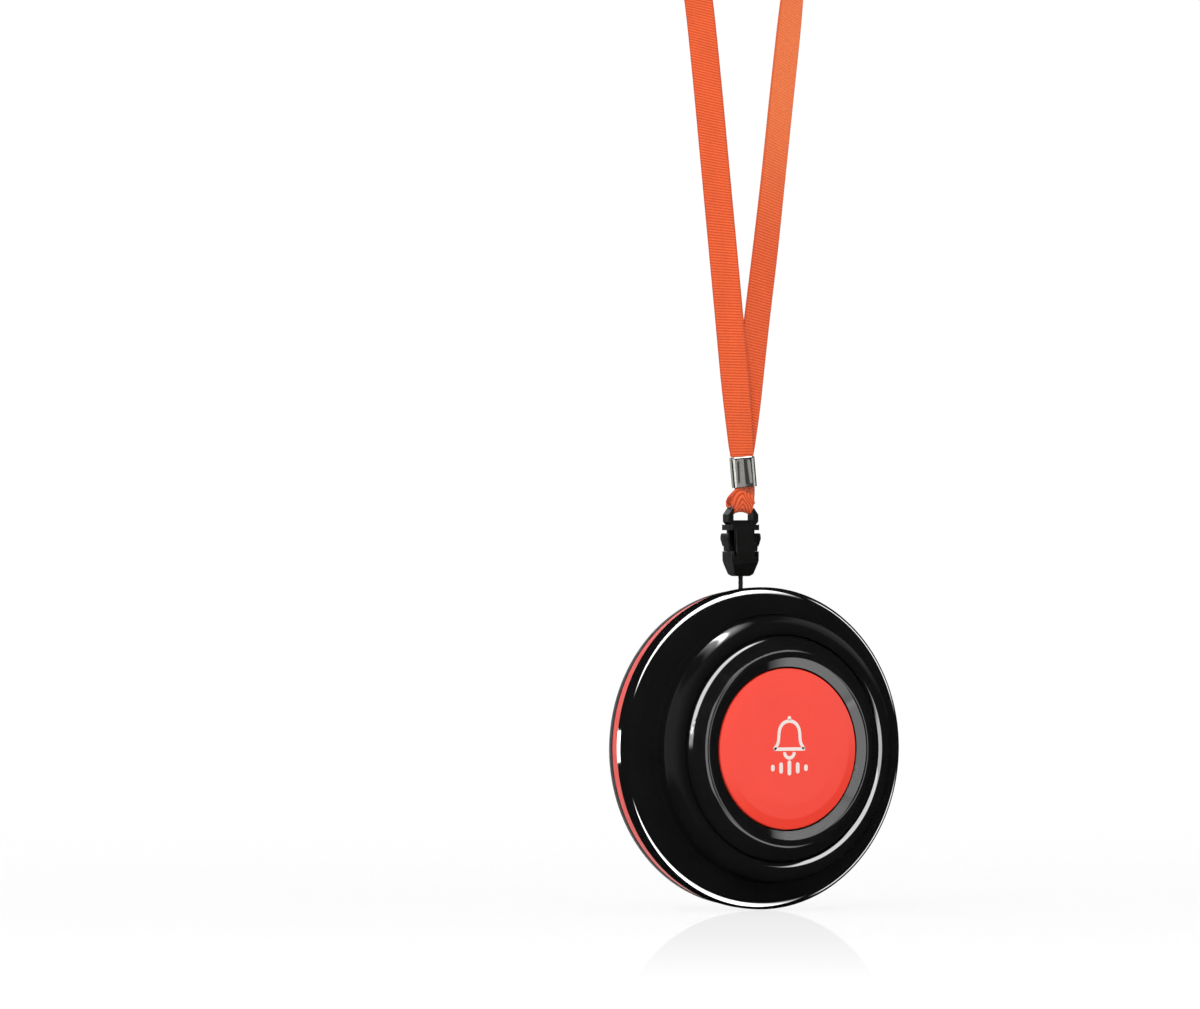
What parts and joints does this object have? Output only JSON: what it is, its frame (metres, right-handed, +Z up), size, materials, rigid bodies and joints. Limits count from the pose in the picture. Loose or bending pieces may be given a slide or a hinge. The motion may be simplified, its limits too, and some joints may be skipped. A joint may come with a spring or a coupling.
{
  "type": "caregiver call button",
  "caption": "Round call-button pendant with a large red press cap in a glossy black housing, hung from an orange neck lanyard by a side-release buckle.",
  "frame": {"origin": "inner face of the strap at the top of the neck loop, where the part hangs", "axes": "+Z up along the hanging lanyard, -Y out of the button's face, X across"},
  "size_m": [0.064, 0.0259, 0.2067],
  "materials": {
    "black_gloss": "gloss",
    "red": "satin",
    "black_plastic": "satin",
    "plunger_plastic": "satin",
    "steel": "bright",
    "cell": "bright",
    "strap_web": "woven",
    "tether_braid": "braided",
    "seal_rubber": "matt",
    "board_green": "satin",
    "chip_black": "matt",
    "led_resin": "satin",
    "antenna_wire": "bright"
  },
  "bodies": {
    "lanyard": {"neck_strap": "strap_web", "crimp": "steel", "buckle_frame": "black_plastic", "buckle_clip": "black_plastic"},
    "arm_left": {"buckle_arm_left": "black_plastic"},
    "arm_right": {"buckle_arm_right": "black_plastic"},
    "tether": {"tether_cord": "tether_braid"},
    "pendant": {"front_shell": "black_gloss", "bezel_ring": "black_gloss", "mid_ring": "red", "back_cover": "black_gloss", "seal_ring": "seal_rubber", "housing_screws": "steel", "circuit_board": "board_green", "board_screws": "steel", "switch_body": "black_plastic", "status_led": "led_resin", "radio_chip": "chip_black", "chip_resistors": "chip_black", "crystal": "steel", "antenna_loop": "antenna_wire", "coin_cell": "cell", "battery_clip": "steel", "battery_contact": "steel", "lanyard_bar": "steel"},
    "button": {"button_cap": "red", "switch_plunger": "plunger_plastic"}
  },
  "joints": [
    {"name": "arm_left_squeeze", "type": "hinge", "parent": "lanyard", "child": "arm_left", "pos_m": [-0.00135, 0, -0.1383], "axis": [0, 1, 0], "range_deg": [0, 10], "stiffness_Nm_per_rad": 0.012},
    {"name": "arm_right_squeeze", "type": "hinge", "parent": "lanyard", "child": "arm_right", "pos_m": [0.00135, 0, -0.1383], "axis": [0, 1, 0], "range_deg": [-10, 0], "stiffness_Nm_per_rad": 0.012},
    {"name": "tether_twist", "type": "hinge", "parent": "lanyard", "child": "tether", "pos_m": [0, 0, -0.13985], "axis": [0, 0, 1], "range_deg": [-180, 180]},
    {"name": "pendant_swing", "type": "hinge", "parent": "tether", "child": "pendant", "pos_m": [0, -0.00112, -0.1459], "axis": [1, 0, 0], "range_deg": [-6, 45]},
    {"name": "button_press", "type": "slide", "parent": "pendant", "child": "button", "axis": [0, 1, 0], "range_m": [0, 0.0006], "stiffness_N_per_m": 3000}
  ]
}
